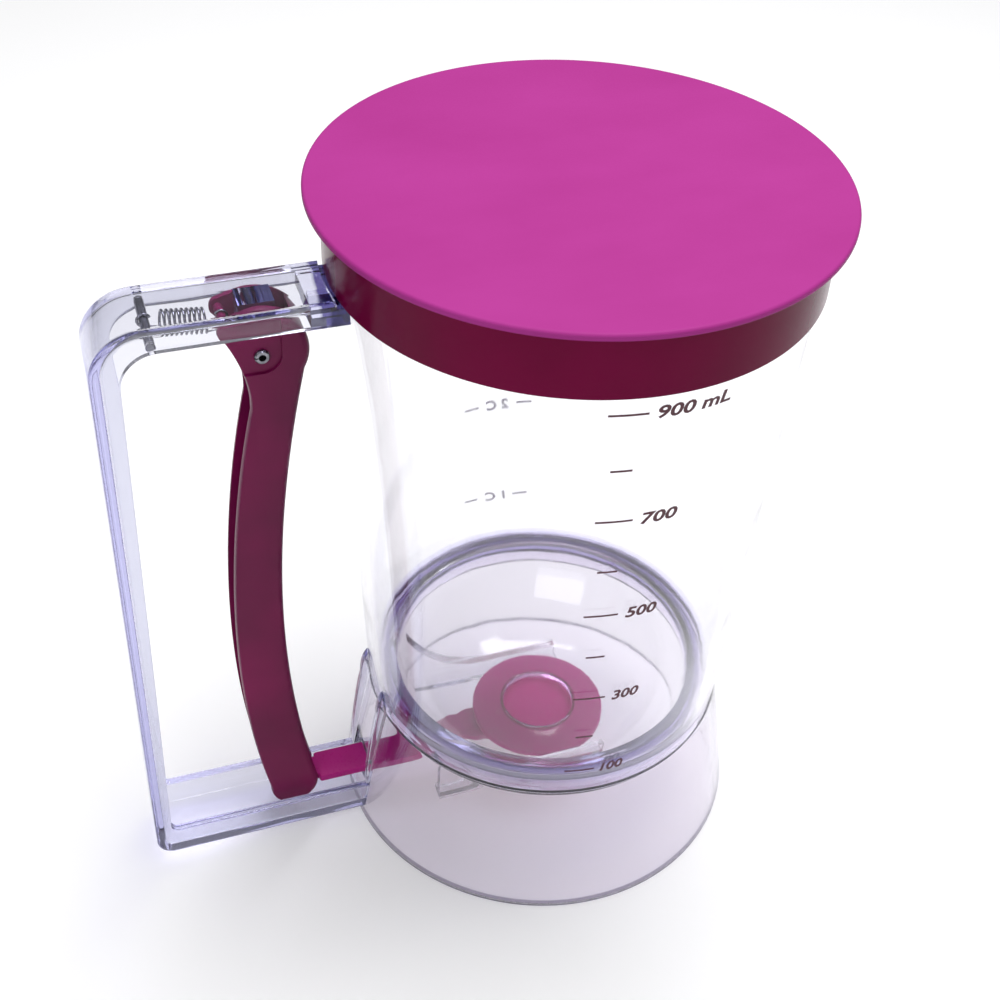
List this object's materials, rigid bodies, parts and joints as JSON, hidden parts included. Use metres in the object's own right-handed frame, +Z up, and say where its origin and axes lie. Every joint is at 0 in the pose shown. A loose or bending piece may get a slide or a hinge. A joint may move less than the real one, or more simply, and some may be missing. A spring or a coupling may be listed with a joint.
{
  "type": "batter dispenser",
  "caption": "Clear hand-held batter dispenser: measuring cup with a funnel floor, a squeeze lever in a channel handle that slides a valve open, and a push-on lid.",
  "frame": {"origin": "on the table under the axis of the cup, at the centre of the base's foot ring", "axes": "+Z up along the cup's axis; the handle points along -X; +Y is across the handle"},
  "size_m": [0.1644, 0.115, 0.181],
  "materials": {
    "clear_cup": "clear moulded plastic, faint lavender tint",
    "clear_funnel": "clear moulded plastic, faint lavender tint",
    "clear_base": "clear moulded plastic, faint lavender tint",
    "clear_handle": "clear moulded plastic, faint lavender tint",
    "steel": "drawn steel pin, satin",
    "spring_steel": "bright spring wire",
    "plum_plastic": "moulded plastic, semi gloss, dark plum",
    "link_plastic": "moulded plastic, semi gloss, magenta",
    "valve_plastic": "moulded plastic, semi gloss, magenta",
    "lid_plastic": "moulded plastic, satin top, magenta"
  },
  "bodies": {
    "root": {"cup": "clear_cup", "funnel": "clear_funnel", "base_skirt": "clear_base", "handle_frame": "clear_handle", "spring_anchor_pin": "steel", "return_spring": "spring_steel"},
    "lever": {"lever": "plum_plastic", "pivot_pin": "steel", "link_pin": "steel"},
    "valve": {"link_bar": "link_plastic", "valve_disc": "valve_plastic"},
    "lid": {"lid": "lid_plastic"}
  },
  "joints": [
    {"name": "lever_squeeze", "type": "hinge", "parent": "root", "child": "lever", "pos_m": [-0.0695, 0, 0.1522], "axis": [0, 1, 0], "range_deg": [0, 10], "stiffness_Nm_per_rad": 0.15, "springref_deg": -11.46, "deforming": ["return_spring"]},
    {"name": "valve_slide", "type": "slide", "parent": "root", "child": "valve", "axis": [-1, 0, 0], "range_m": [0, 0.0245]},
    {"name": "lid_lift", "type": "slide", "parent": "root", "child": "lid", "axis": [0, 0, 1], "range_m": [0, 0.06]}
  ],
  "couplings": [
    {"joint": "valve_slide", "follows": "lever_squeeze", "m_per_rad": 0.1382}
  ]
}
